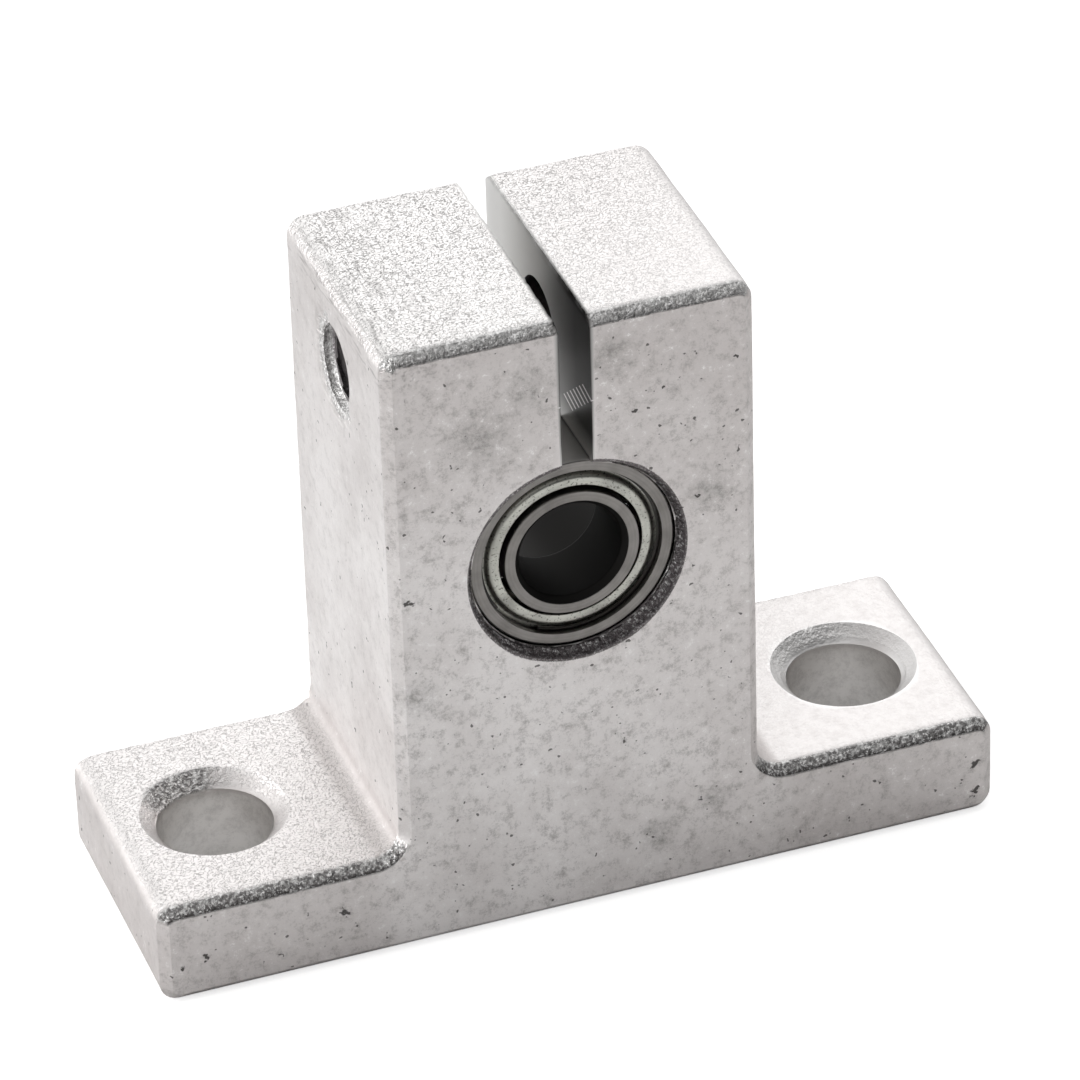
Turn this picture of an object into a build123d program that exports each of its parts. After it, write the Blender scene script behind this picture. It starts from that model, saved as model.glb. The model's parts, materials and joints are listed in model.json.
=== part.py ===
"""Shaft support block: a cast aluminium T-block that clamps a small shielded ball bearing.

Units are millimetres. X runs along the foot, Y along the shaft, Z up.
The origin is on the ground under the middle of the block. The side that shows
the bearing is the front and lies at negative Y.
"""
import os

from build123d import *

# Casting: outline
foot_length = 42.0
foot_thickness = 5.3
upright_width = 18.0
block_height = 32.8
block_depth = 14.0
outer_corner_radius = 0.9
root_fillet_radius = 1.3
edge_chamfer = 0.5

# Casting: bearing bore and clamping slit
bore_axis_height = 20.0
bore_mouth_chamfer = 0.3
slit_width = 1.5
slit_offset = 0.2

# Casting: clamp screw hole, an M4 size that crosses the slit
screw_axis_below_top = 4.3
screw_clearance_diameter = 4.5
screw_clearance_mouth_diameter = 5.5
tapping_diameter = 3.3
tapped_mouth_diameter = 4.2

# Casting: fixing holes in the feet
fixing_hole_spacing = 32.0
fixing_hole_diameter = 5.5
fixing_hole_mouth_diameter = 7.1

# Bearing: outside sizes and its place in the bore
bearing_outer_diameter = 10.0
bearing_bore_diameter = 5.0
bearing_width = 4.0
bearing_recess = 0.5
housing_clearance = 0.04

# Bearing: balls and raceways
ball_count = 8
ball_diameter = 1.2
ball_pitch_diameter = 7.5
ball_running_clearance = 0.015
groove_conformity = 0.52
inner_land_diameter = 6.6
outer_land_diameter = 8.4
ring_corner_chamfer = 0.08
inner_bore_chamfer = 0.3
inner_shoulder_chamfer = 0.06

# Bearing: shields, and the split rings that snap in over them
ring_lip_diameter = 8.84
shield_recess_diameter = 9.0
shield_sheet = 0.12
shield_flange_depth = 0.51
shield_face_depth = 0.2
shield_face_outer_diameter = 7.96
shield_step_outer_diameter = 8.3
shield_entry_clearance = 0.02
shield_gap_to_inner_ring = 0.2
seating_clearance = 0.01
snap_ring_thickness = 0.2
snap_ring_width = 0.22
snap_ring_opening_angle = 34.0
snap_ring_opening_direction = 130.0

# Bearing: ribbon cage
cage_sheet = 0.1
cage_width = 0.5
cage_ball_clearance = 0.04
cage_lap_clearance = 0.01

# Sizes that follow from those above
front_y = -block_depth / 2
bearing_face_y = front_y + bearing_recess
mid_depth = bearing_width / 2
ball_radius = ball_diameter / 2
pitch_radius = ball_pitch_diameter / 2
groove_radius = groove_conformity * ball_diameter
screw_axis_height = block_height - screw_axis_below_top
housing_bore_diameter = bearing_outer_diameter + 2 * housing_clearance
shield_inner_diameter = inner_land_diameter + 2 * shield_gap_to_inner_ring
shield_shoulder_depth = shield_flange_depth + shield_sheet + seating_clearance
snap_ring_depth = shield_flange_depth - seating_clearance - snap_ring_thickness
ring_lip_width = snap_ring_depth - seating_clearance

# The bearing is drawn with its axis along Z and its front face at zero,
# then set into the bore with this frame: its Z becomes the block's Y.
bearing_frame = Plane(origin=(0, bearing_face_y, bore_axis_height), x_dir=(1, 0, 0), z_dir=(0, 1, 0))
# The same, turned end for end about the middle of the bearing's width.
rear_face_y = bearing_face_y + bearing_width
rear_frame = Plane(origin=(0, rear_face_y, bore_axis_height), x_dir=(1, 0, 0), z_dir=(0, -1, 0))


def save(shape, name):
    """Write one sub-part under its own name."""
    shape.label = name
    export_step(shape, "parts/" + name + ".step")


def turned(points, start=0.0, sweep=360.0):
    """Turn a closed profile of (radius, depth) points about the bearing's axis."""
    profile = make_face(Polyline(*[(r, 0, z) for r, z in points], close=True))
    return Rot(0, 0, start) * revolve(profile, Axis.Z, sweep)


def round_hole(diameter, length, axis_plane):
    """A straight drill, centred on the plane's origin and running along its normal."""
    return axis_plane.location * Cylinder(diameter / 2, length)


def mouth_cone(small_diameter, large_diameter, mouth_plane):
    """A 90 degree countersink that opens along the plane's normal."""
    depth = (large_diameter - small_diameter) / 2
    # It carries on a little past the surface, so that no film of metal is left there.
    past = depth / 10
    cone = Cone(small_diameter / 2, large_diameter / 2 + past, depth + past)
    return mouth_plane.location * Pos(0, 0, (past - depth) / 2) * cone


def block_outline():
    """The T outline seen from the front, with soft cast corners and filleted roots."""
    foot = Pos(0, foot_thickness / 2) * Rectangle(foot_length, foot_thickness)
    upright = Pos(0, block_height / 2) * Rectangle(upright_width, block_height)
    outline = foot + upright
    roots = [
        v for v in outline.vertices()
        if abs(abs(v.X) - upright_width / 2) < 1e-6 and abs(v.Y - foot_thickness) < 1e-6
    ]
    outline = fillet(roots, root_fillet_radius)
    corners = [
        v for v in outline.vertices()
        if abs(v.Y) < 1e-6 or abs(v.Y - block_height) < 1e-6 or abs(abs(v.X) - foot_length / 2) < 1e-6
    ]
    return fillet(corners, outer_corner_radius)


def cast_body():
    """The outline carried through the depth, chamfered along its front and back edges."""
    outline = Plane.XZ.location * block_outline()
    body = extrude(outline, block_depth / 2, both=True)
    rims = body.faces().filter_by(Axis.Y).edges()
    return chamfer(rims, edge_chamfer)


def bearing_bore():
    """The bore with its front and back mouths."""
    middle = Plane(origin=(0, 0, bore_axis_height), z_dir=(0, 1, 0))
    cutter = round_hole(housing_bore_diameter, 2 * block_depth, middle)
    mouth_diameter = housing_bore_diameter + 2 * bore_mouth_chamfer
    for side in (-1, 1):
        mouth = Plane(origin=(0, side * block_depth / 2, bore_axis_height), z_dir=(0, side, 0))
        cutter += mouth_cone(housing_bore_diameter, mouth_diameter, mouth)
    return cutter


def clamping_slit():
    """The saw cut from the top of the upright down into the bore."""
    height = block_height - bore_axis_height
    return Pos(slit_offset, 0, bore_axis_height + height) * Box(slit_width, 2 * block_depth, 2 * height)


def clamp_screw_hole():
    """A tapping drill through the left ear, and clear through the right ear."""
    left_face = -upright_width / 2
    right_face = upright_width / 2
    left_wall = slit_offset - slit_width / 2
    right_wall = slit_offset + slit_width / 2

    def across(x, side):
        return Plane(origin=(x, 0, screw_axis_height), z_dir=(side, 0, 0))

    tapped_length = left_wall - left_face
    cutter = round_hole(tapping_diameter, tapped_length, across((left_face + left_wall) / 2, 1))
    cutter += mouth_cone(tapping_diameter, tapped_mouth_diameter, across(left_face, -1))
    cutter += mouth_cone(tapping_diameter, tapped_mouth_diameter, across(left_wall, 1))
    clear_length = right_face - right_wall
    cutter += round_hole(screw_clearance_diameter, clear_length, across((right_face + right_wall) / 2, 1))
    cutter += mouth_cone(screw_clearance_diameter, screw_clearance_mouth_diameter, across(right_face, 1))
    return cutter


def fixing_holes():
    """One countersunk hole down through each foot."""
    cutter = Part()
    for side in (-1, 1):
        middle = Plane(origin=(side * fixing_hole_spacing / 2, 0, foot_thickness / 2))
        top = middle.offset(foot_thickness / 2)
        cutter += round_hole(fixing_hole_diameter, 2 * foot_thickness, middle)
        cutter += mouth_cone(fixing_hole_diameter, fixing_hole_mouth_diameter, top)
    return cutter


def support_block():
    """The whole casting."""
    block = cast_body()
    for cutter in (bearing_bore(), clamping_slit(), clamp_screw_hole(), fixing_holes()):
        block -= cutter
    return block


def race_groove(bottom_radius, outward):
    """The ring of metal that a groove takes away, as a torus around the bearing's axis."""
    centre_radius = bottom_radius - outward * groove_radius
    return Pos(0, 0, mid_depth) * Torus(centre_radius, groove_radius)


def outer_ring():
    """Outer ring: a lip and a recess for the shield at each face, a land between, the race in the land."""
    rim = bearing_outer_diameter / 2
    lip = ring_lip_diameter / 2
    recess = shield_recess_diameter / 2
    land = outer_land_diameter / 2
    near_half = [
        (rim, ring_corner_chamfer), (rim - ring_corner_chamfer, 0), (lip, 0), (lip, ring_lip_width),
        (recess, ring_lip_width), (recess, shield_shoulder_depth), (land, shield_shoulder_depth),
    ]
    far_half = [(r, bearing_width - z) for r, z in reversed(near_half)]
    ring = turned(near_half + far_half)
    ring -= race_groove(pitch_radius + ball_radius + ball_running_clearance, 1)
    return bearing_frame.location * ring


def inner_ring():
    """Inner ring: plain bore for the shaft, chamfered at both ends, race around the outside."""
    bore = bearing_bore_diameter / 2
    land = inner_land_diameter / 2
    near_half = [
        (bore, inner_bore_chamfer), (bore + inner_bore_chamfer, 0),
        (land - inner_shoulder_chamfer, 0), (land, inner_shoulder_chamfer),
    ]
    far_half = [(r, bearing_width - z) for r, z in reversed(near_half)]
    ring = turned(near_half + far_half)
    ring -= race_groove(pitch_radius - ball_radius - ball_running_clearance, -1)
    return bearing_frame.location * ring


def shield(frame):
    """Pressed sheet shield: a flange on the seat, a step, and a raised flat beside the inner ring."""
    rim = ring_lip_diameter / 2 - shield_entry_clearance
    step = shield_step_outer_diameter / 2
    face = shield_face_outer_diameter / 2
    hole = shield_inner_diameter / 2
    low = shield_flange_depth
    high = shield_face_depth
    return frame.location * turned([
        (hole, high), (face, high), (step, low), (rim, low),
        (rim, low + shield_sheet), (step - shield_sheet, low + shield_sheet),
        (face - shield_sheet, high + shield_sheet), (hole, high + shield_sheet),
    ])


def snap_ring(frame):
    """A flat spring ring with an opening, sprung out under the lip of the outer ring."""
    outside = shield_recess_diameter / 2 - seating_clearance
    inside = outside - snap_ring_width
    near = snap_ring_depth
    far = snap_ring_depth + snap_ring_thickness
    start = snap_ring_opening_direction + snap_ring_opening_angle / 2
    section = [(inside, near), (outside, near), (outside, far), (inside, far)]
    return frame.location * turned(section, start, 360 - snap_ring_opening_angle)


def ball_angles():
    """Where the balls stand around the bearing's axis, in degrees, the first one straight up."""
    return [-90 + i * 360 / ball_count for i in range(ball_count)]


def ball(angle):
    """One ball."""
    return bearing_frame.location * Rot(0, 0, angle) * Pos(pitch_radius, 0, mid_depth) * Sphere(ball_radius)


def cage_half(side):
    """One pressed ribbon of the cage: flat between the balls, arched over each one."""
    pocket_radius = ball_radius + cage_ball_clearance
    arch_radius = pocket_radius + cage_sheet
    inner = pitch_radius - cage_width / 2
    outer = pitch_radius + cage_width / 2
    lap = cage_lap_clearance / 2
    band = turned([(inner, lap), (outer, lap), (outer, arch_radius), (inner, arch_radius)])
    half = turned([(inner, lap), (outer, lap), (outer, lap + cage_sheet), (inner, lap + cage_sheet)])
    arches = Part()
    pockets = Part()
    for angle in ball_angles():
        # Each arch and pocket is round about a line that runs outwards through the ball.
        across = Rot(0, 0, angle) * Pos(pitch_radius, 0, 0) * Rot(0, 90, 0)
        arches += across * Cylinder(arch_radius, 2 * cage_width)
        pockets += across * Cylinder(pocket_radius, 2 * cage_width)
    half = half + (band & arches) - pockets
    if side < 0:
        half = mirror(half, Plane.XY)
    return bearing_frame.location * Pos(0, 0, mid_depth) * half


def main():
    os.makedirs("parts", exist_ok=True)
    save(support_block(), "support_block")
    save(outer_ring(), "outer_ring")
    save(inner_ring(), "inner_ring")
    save(shield(bearing_frame), "front_shield")
    save(shield(rear_frame), "rear_shield")
    save(snap_ring(bearing_frame), "front_snap_ring")
    save(snap_ring(rear_frame), "rear_snap_ring")
    save(cage_half(-1), "cage_front")
    save(cage_half(1), "cage_rear")
    for number, angle in enumerate(ball_angles(), start=1):
        save(ball(angle), f"ball_{number}")


main()
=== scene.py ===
# %% [markdown]
# A small shaft support block is dressed here for its portrait: an aluminium casting like a T on its
# head, sawn from the top down into a bore, where it clamps a shielded ball bearing. The measured solids
# come first, as a fixed frame that nothing below may move.

# %% The measured solids
import json

import bmesh
import bpy
import numpy as np
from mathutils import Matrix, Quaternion, Vector


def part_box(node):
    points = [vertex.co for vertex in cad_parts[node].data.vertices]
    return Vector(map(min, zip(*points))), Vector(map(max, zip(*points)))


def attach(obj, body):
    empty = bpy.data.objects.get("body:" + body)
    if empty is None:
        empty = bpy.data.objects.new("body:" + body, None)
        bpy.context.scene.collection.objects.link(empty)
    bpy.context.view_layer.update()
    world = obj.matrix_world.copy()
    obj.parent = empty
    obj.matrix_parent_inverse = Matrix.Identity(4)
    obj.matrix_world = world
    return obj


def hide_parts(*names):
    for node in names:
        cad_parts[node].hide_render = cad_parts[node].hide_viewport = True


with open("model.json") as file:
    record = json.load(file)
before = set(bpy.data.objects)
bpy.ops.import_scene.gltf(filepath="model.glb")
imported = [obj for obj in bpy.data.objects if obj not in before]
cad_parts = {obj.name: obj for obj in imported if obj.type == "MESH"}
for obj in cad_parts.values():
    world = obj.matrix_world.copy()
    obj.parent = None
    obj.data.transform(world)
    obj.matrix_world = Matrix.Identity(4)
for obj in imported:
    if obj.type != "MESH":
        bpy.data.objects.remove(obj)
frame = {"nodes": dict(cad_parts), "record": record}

MM = 0.001
scene = bpy.context.scene
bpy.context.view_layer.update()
scene.view_settings.view_transform = "Standard"

# %% [markdown]
# Colours are easiest to pick as the hex values that a picture shows, but light adds up in linear values.
# One function turns the first into the second.

# %% Colours
def linear(hex_colour, alpha=1.0):
    """An sRGB hex colour in linear values."""
    channels = np.array([int(hex_colour[i:i + 2], 16) for i in (0, 2, 4)]) / 255
    low = channels / 12.92
    high = ((channels + 0.055) / 1.055) ** 2.4
    return tuple(np.where(channels <= 0.04045, low, high)) + (alpha,)


print("mid grey is", linear("808080")[0])

# %% [markdown]
# A material is a small graph of nodes. One helper adds a node, sets it and fills or links its sockets,
# so that each finish below reads as a list of what feeds what.

# %% A helper that adds one node
def add(tree, kind, sockets=None, **settings):
    """Add one node. settings are its options; sockets maps an input to a value, an output or a node.

    A node stands for the first of its outputs that is in use."""
    node = tree.nodes.new("ShaderNode" + kind)
    for option, value in settings.items():
        setattr(node, option, value)
    for socket, value in (sockets or {}).items():
        if isinstance(value, bpy.types.Node):
            value = next(output for output in value.outputs if output.enabled)
        if isinstance(value, bpy.types.NodeSocket):
            tree.links.new(value, node.inputs[socket])
        else:
            node.inputs[socket].default_value = value
    return node


def new_tree(name):
    """Start an empty material and return it with its node tree."""
    material = bpy.data.materials.new(name)
    material.use_nodes = True
    material.node_tree.nodes.clear()
    return material, material.node_tree


def placed(name, data):
    """Put a new object in the scene."""
    thing = bpy.data.objects.new(name, data)
    scene.collection.objects.link(thing)
    return thing


# %% [markdown]
# The block stands on white paper that also rises behind it. The room on the camera's side is dimmer,
# which gives the block's front its own shade. Paper lit until it burns out would bleach the metal too,
# so only a ray from the camera or a mirror meets it nearer to full white.

# %% Floor and world
PAPER = "f4f4f4"
FLOOR_HALF_WIDTH = 1.5
PAPER_LIFT = 0.6
PAPER_LIFT_IN_METAL = 0.03
ROOM_BRIGHT = 1.03
ROOM_DIM = 0.02
DIM_BELOW, BRIGHT_ABOVE = -0.6, 0.5
PAPER_SIDE = (-0.35, 0.8, 0.5)


def looked_at(tree):
    """1 for rays from the camera, straight or through glass, else 0."""
    path = add(tree, "LightPath").outputs
    seen = {0: path["Is Camera Ray"], 1: path["Is Transmission Ray"]}
    return add(tree, "Math", seen, operation="MAXIMUM")


def paper_material():
    """Matt white paper, lifted towards full white where the camera or metal sees it."""
    material, tree = new_tree("matt_white_paper")
    paper = add(tree, "BsdfDiffuse", {"Color": linear(PAPER), "Roughness": 1.0})
    mirrored = add(tree, "LightPath").outputs["Is Glossy Ray"]
    in_metal = add(tree, "Math", {0: mirrored, 1: PAPER_LIFT_IN_METAL}, operation="MULTIPLY")
    lift = {0: looked_at(tree), 1: PAPER_LIFT, 2: in_metal}
    lift = add(tree, "Math", lift, operation="MULTIPLY_ADD")
    glow = add(tree, "Emission", {"Color": linear("ffffff"), "Strength": lift})
    both = add(tree, "AddShader", {0: paper, 1: glow})
    add(tree, "OutputMaterial", {"Surface": both})
    return material


h = FLOOR_HALF_WIDTH
floor_mesh = bpy.data.meshes.new("paper_floor")
floor_mesh.from_pydata([(-h, -h, 0), (h, -h, 0), (h, h, 0), (-h, h, 0)], [], [(0, 1, 2, 3)])
floor = placed("paper_floor", floor_mesh)
floor.data.materials.append(paper_material())

world = bpy.data.worlds.new("white_studio")
scene.world = world
world.use_nodes = True
tree = world.node_tree
tree.nodes.clear()
way = add(tree, "TexCoord").outputs["Generated"]
side = add(tree, "VectorMath", {0: way, 1: Vector(PAPER_SIDE).normalized()}, operation="DOT_PRODUCT")
room = add(tree, "MapRange", {"Value": side, "From Min": DIM_BELOW, "From Max": BRIGHT_ABOVE,
                              "To Min": ROOM_DIM, "To Max": ROOM_BRIGHT}, interpolation_type="SMOOTHSTEP")
seen = add(tree, "Math", {0: room, 1: looked_at(tree)}, operation="MAXIMUM")
backdrop = add(tree, "Background", {"Color": linear("ffffff"), "Strength": seen})
add(tree, "OutputWorld", {"Surface": backdrop})
print("floor", 2 * h, "m wide; room from", ROOM_DIM, "to", ROOM_BRIGHT)

# %% [markdown]
# A long lens looked from the left and above. The directions of the block's edges give its angles, and
# their lengths give its distance.

# %% Camera
CAMERA_AZIMUTH = -18.97
CAMERA_ELEVATION = 34.08
CAMERA_ROLL = 1.80
CAMERA_DISTANCE = 344.5 * MM
CAMERA_AIM = Vector((0.64, -0.12, 16.54)) * MM
CAMERA_LENS = 244.5
SENSOR_WIDTH = 36


def direction(azimuth, elevation):
    """The unit vector from the block; azimuth is 0 in front and grows to the right."""
    a, e = np.radians((azimuth, elevation))
    return Vector((np.sin(a) * np.cos(e), -np.cos(a) * np.cos(e), np.sin(e)))


optics = bpy.data.cameras.new("camera")
optics.lens = CAMERA_LENS
optics.sensor_width = SENSOR_WIDTH
optics.clip_start = 0.01
optics.clip_end = 10
camera = placed("camera", optics)
scene.camera = camera
back = direction(CAMERA_AZIMUTH, CAMERA_ELEVATION)
camera.location = CAMERA_AIM + back * CAMERA_DISTANCE
camera.rotation_mode = "QUATERNION"
roll = Quaternion((0, 0, 1), np.radians(-CAMERA_ROLL))
camera.rotation_quaternion = (-back).to_track_quat("-Z", "Y") @ roll
print("camera at", [round(x, 4) for x in camera.location])

# %% [markdown]
# Two soft boxes add to the room. The tops mirror the one behind the block towards the camera. The other
# is long and low, so it brightens the left sides and only grazes the paper.

# %% Lamps
def soft_box(name, azimuth, elevation, distance, width, height, power):
    """A rectangular lamp that faces the block, in metres and watts."""
    data = bpy.data.lights.new(name, "AREA")
    data.shape = "RECTANGLE"
    data.size = width
    data.size_y = height
    data.energy = power
    lamp = placed(name, data)
    towards = direction(azimuth, elevation)
    lamp.location = towards * distance
    lamp.rotation_mode = "QUATERNION"
    lamp.rotation_quaternion = towards.to_track_quat("Z", "Y")
    print("lamp", name, power, "W")


soft_box("back_box", azimuth=158, elevation=45, distance=0.7, width=0.4, height=0.4, power=0.45)
soft_box("left_box", azimuth=-100, elevation=7, distance=0.7, width=0.5, height=0.15, power=3.0)

# %% [markdown]
# The casting's solid has few faces, and a rough skin needs many. Remeshing would soften every cut and
# bore edge, so the surface is worked out again as a few grids of points that share their borders. Sizes
# are in millimetres until the mesh is made.

# %% Sizes of the casting
block_low, block_high = (np.array(corner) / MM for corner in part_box("support_block"))
FOOT_LENGTH, BLOCK_DEPTH, BLOCK_HEIGHT = block_high - block_low
FOOT_THICKNESS = 5.3
UPRIGHT_WIDTH = 18.0
OUTER_CORNER_RADIUS = 0.9
ROOT_FILLET_RADIUS = 1.3
EDGE_CHAMFER = 0.5
BORE_RADIUS = 5.04
MOUTH_NARROW, MOUTH_WIDE = 0.1, 0.5
MOUTH_DIRECTION = 150
BORE_HEIGHT = 20.0
SLIT_LEFT, SLIT_RIGHT = -0.55, 0.95

mounts = {mount["name"]: mount for mount in frame["record"]["mounts"]}
SCREW_HEIGHT = mounts["clamp_screw_hole"]["pos_m"][2] / MM
CLEARANCE_RADIUS = mounts["clamp_screw_hole"]["dims"]["r_mm"]
CLEARANCE_MOUTH_RADIUS = 2.75
TAPPING_RADIUS = mounts["clamp_screw_thread"]["dims"]["r_mm"]
TAPPED_MOUTH_RADIUS = 2.1
FIXING_SPACING = mounts["fixing_holes"]["dims"]["spacing_x_mm"]
FIXING_RADIUS = mounts["fixing_holes"]["dims"]["hole_r_mm"]
FIXING_MOUTH_RADIUS = 3.55
print("casting", [round(float(s), 2) for s in (FOOT_LENGTH, BLOCK_DEPTH, BLOCK_HEIGHT)], "mm")

# %% [markdown]
# Seen from the front, the T is one line from the right lip of the saw cut round to its left lip. Each
# point carries the direction away from the metal. Moved back against it by the chamfer's width, it lies
# on the front face's border, so one line gives the wall, the chamfer and the border.

# %% The outline as points with outward directions
CORNER_STEPS = 6
FILLET_STEPS = 10
SIDE_STEPS = 100
FOOT_STEPS = 40
FOOT_ROWS = 18
MIDDLE_STEPS = 34
EAR_STEPS = 30


def straight(start, end, steps, outward):
    """Points start + t (end - start) in equal steps, without the end."""
    start, end = np.array(start), np.array(end)
    t = np.arange(steps)[:, None] / steps
    return start + t * (end - start), np.tile(np.array(outward, float), (steps, 1))


def arc(centre, radius, first, last, steps, bulge=1):
    """Points centre + radius (cos a, sin a); bulge is 1 where metal is inside the circle, -1 outside."""
    a = np.radians(first + (last - first) * np.arange(steps) / steps)
    ray = np.stack([np.cos(a), np.sin(a)], 1)
    return np.array(centre) + radius * ray, bulge * ray


def half_outline(lip):
    """The right half of the T in x and z, from the saw cut's lip to the middle of the underside."""
    side, end = UPRIGHT_WIDTH / 2, FOOT_LENGTH / 2
    r, f = OUTER_CORNER_RADIUS, ROOT_FILLET_RADIUS
    top, foot = BLOCK_HEIGHT, FOOT_THICKNESS
    turn = np.pi / 2 * np.arange(FILLET_STEPS + 1) / FILLET_STEPS
    fillet_x = side + f - (f + EDGE_CHAMFER) * np.cos(turn)
    below = np.concatenate([
        np.linspace(end - r, side + f, FOOT_STEPS + 1)[:-1], fillet_x[::-1][:-1],
        np.linspace(side - EDGE_CHAMFER, 0, MIDDLE_STEPS + 1),
    ])
    runs = [
        straight((lip, top), (side - r, top), EAR_STEPS, (0, 1)),
        arc((side - r, top - r), r, 90, 0, CORNER_STEPS),
        straight((side, top - r), (side, foot + f), SIDE_STEPS, (1, 0)),
        arc((side + f, foot + f), f, 180, 270, FILLET_STEPS, -1),
        straight((side + f, foot), (end - r, foot), FOOT_STEPS, (0, 1)),
        arc((end - r, foot - r), r, 90, 0, CORNER_STEPS),
        straight((end, foot - r), (end, r), FOOT_ROWS, (1, 0)),
        arc((end - r, r), r, 0, -90, CORNER_STEPS),
        (np.stack([below, 0 * below], 1), np.tile((0.0, -1.0), (len(below), 1))),
    ]
    return np.concatenate([p for p, n in runs]), np.concatenate([n for p, n in runs])


def full_outline():
    """Right half, then the mirrored left half backwards, from lip to lip."""
    right, right_out = half_outline(SLIT_RIGHT)
    left, left_out = half_outline(-SLIT_LEFT)
    mirror = np.array((-1.0, 1.0))
    points = np.concatenate([right, (left * mirror)[-2::-1]])
    return points, np.concatenate([right_out, (left_out * mirror)[-2::-1]])


outline, outward = full_outline()
print("outline of", len(outline), "points")

# %% [markdown]
# The line draws back by the chamfer's width at both ends of the depth. The bore's mouths are a little
# off its middle, as cut by hand: wide at the lower right and almost nothing at the upper left.

# %% Rows through the depth
CHAMFER_ROWS = 5
DEPTH_ROWS = 48
edge = np.arange(CHAMFER_ROWS) / CHAMFER_ROWS * EDGE_CHAMFER
half_depth = BLOCK_DEPTH / 2
middle = np.linspace(EDGE_CHAMFER, BLOCK_DEPTH - EDGE_CHAMFER, DEPTH_ROWS + 1)
depth = np.concatenate([edge, middle, (BLOCK_DEPTH - edge)[::-1]])
row_y = depth - half_depth
drawn_back = np.maximum(0, EDGE_CHAMFER - np.minimum(depth, BLOCK_DEPTH - depth))
below_face = np.minimum(depth, BLOCK_DEPTH - depth)
print(len(depth), "rows through the depth")


def xyz(x, y, z):
    """Stack coordinates that may have fewer dimensions than the grid they fill."""
    return np.stack(np.broadcast_arrays(x, y, z), -1).astype(float)


def outer_wall():
    """The outline, less the outward direction times how far each row is drawn back."""
    flat = outline[:, None, :] - drawn_back[None, :, None] * outward[:, None, :]
    return xyz(flat[..., 0], row_y[None, :], flat[..., 1])


# %% [markdown]
# The front and back faces have two parts: the foot is a row of upright lines, and the upright is a fan
# of lines from the bore's mouth out to the border.

# %% Face grids
FAN_ROWS = 30
border = outline - EDGE_CHAMFER * outward
half_count = (len(outline) + 1) // 2
fan_end = EAR_STEPS + CORNER_STEPS + SIDE_STEPS
seam_x = np.linspace(UPRIGHT_WIDTH / 2 - EDGE_CHAMFER, EDGE_CHAMFER - UPRIGHT_WIDTH / 2, 2 * MIDDLE_STEPS + 1)
seam = np.stack([seam_x, np.full_like(seam_x, FOOT_THICKNESS + ROOT_FILLET_RADIUS)], 1)


def foot_face():
    """Foot part of a face, from right to left: lower border + t (upper border - lower border)."""
    corner = fan_end + FILLET_STEPS + FOOT_STEPS
    upper = np.concatenate([border[fan_end + 1:corner + CORNER_STEPS + 1][::-1], seam])
    lower_start = corner + CORNER_STEPS + FOOT_ROWS
    lower = border[lower_start:half_count]
    upper = upper[:len(lower)]
    t = np.linspace(0, 1, FOOT_ROWS + 1)[None, :, None]
    half = lower[:, None, :] + t * (upper - lower)[:, None, :]
    return np.concatenate([half, (half * np.array((-1.0, 1.0)))[-2::-1]])


fan_border = np.concatenate([border[:fan_end], seam, border[-fan_end:]])
fan_turn = np.unwrap(np.arctan2(fan_border[:, 0], fan_border[:, 1] - BORE_HEIGHT))
fan_share = (fan_turn - fan_turn[0]) / (fan_turn[-1] - fan_turn[0])


def mouth_width(turn):
    """Width of the bore's mouth at a turn from straight up: mean + swing cos(turn - widest)."""
    swing = (MOUTH_WIDE - MOUTH_NARROW) / 2
    return MOUTH_NARROW + swing * (1 + np.cos(turn - np.radians(MOUTH_DIRECTION)))


first_turn = np.arcsin(SLIT_RIGHT / BORE_RADIUS)
last_turn = 2 * np.pi + np.arcsin(SLIT_LEFT / BORE_RADIUS)
fan_mouth = mouth_width(first_turn + fan_share * (last_turn - first_turn))


def bore_ring(below):
    """The bore, clockwise from lip to lip, so far below its face: (r sin a, height + r cos a)."""
    radius = BORE_RADIUS + np.maximum(0, fan_mouth - below)
    first, last = np.arcsin(SLIT_RIGHT / radius[0]), 2 * np.pi + np.arcsin(SLIT_LEFT / radius[-1])
    a = first + fan_share * (last - first)
    return np.stack([radius * np.sin(a), BORE_HEIGHT + radius * np.cos(a)], 1)


bore_rings = np.stack([bore_ring(below) for below in below_face], 1)


def upright_face():
    """Upright part of a face: bore ring + t (border - bore ring)."""
    t = np.linspace(0, 1, FAN_ROWS + 1)[None, :, None]
    inner = bore_rings[:, 0]
    return inner[:, None, :] + t * (fan_border - inner)[:, None, :]


def bore_wall():
    """Bore and its two mouths: the bore ring at each row's own depth."""
    return xyz(bore_rings[..., 0], row_y[None, :], bore_rings[..., 1])


def slit_wall(x, low):
    """A wall of the saw cut at one x: from low, the bore's edge at each row, up to the drawn-back top."""
    high = BLOCK_HEIGHT - drawn_back
    t = np.linspace(0, 1, FAN_ROWS + 1)[:, None]
    return xyz(x, row_y[None, :], low + t * (high - low))


print("fan of", len(fan_border), "lines")

# %% [markdown]
# A round hole is let into a grid without cutting a face: a block of cells is taken out, its rim is drawn
# in to the circle, and a tube goes on from there to the other end.

# %% Holes in the grids
RING_ROWS = 4
CLAMP_CELLS = 24
FIXING_CELLS = 30


class Skin:
    """Collects grids of points and the cells between them, for one mesh."""

    def __init__(self):
        self.points, self.cells, self.count = [], [], 0

    def grid(self, points, keep=None, closed=False):
        """Add a grid, open where keep is False; closed joins its last line to its first."""
        rows, columns = points.shape[:2]
        i, j = np.meshgrid(np.arange(rows if closed else rows - 1), np.arange(columns - 1), indexing="ij")
        if keep is not None:
            i, j = i[keep], j[keep]
        n = (i + 1) % rows
        cells = np.stack([i * columns + j, n * columns + j, n * columns + j + 1, i * columns + j + 1], -1)
        self.points.append(points.reshape(-1, 3))
        self.cells.append(cells.reshape(-1, 4) + self.count)
        self.count += rows * columns


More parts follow.
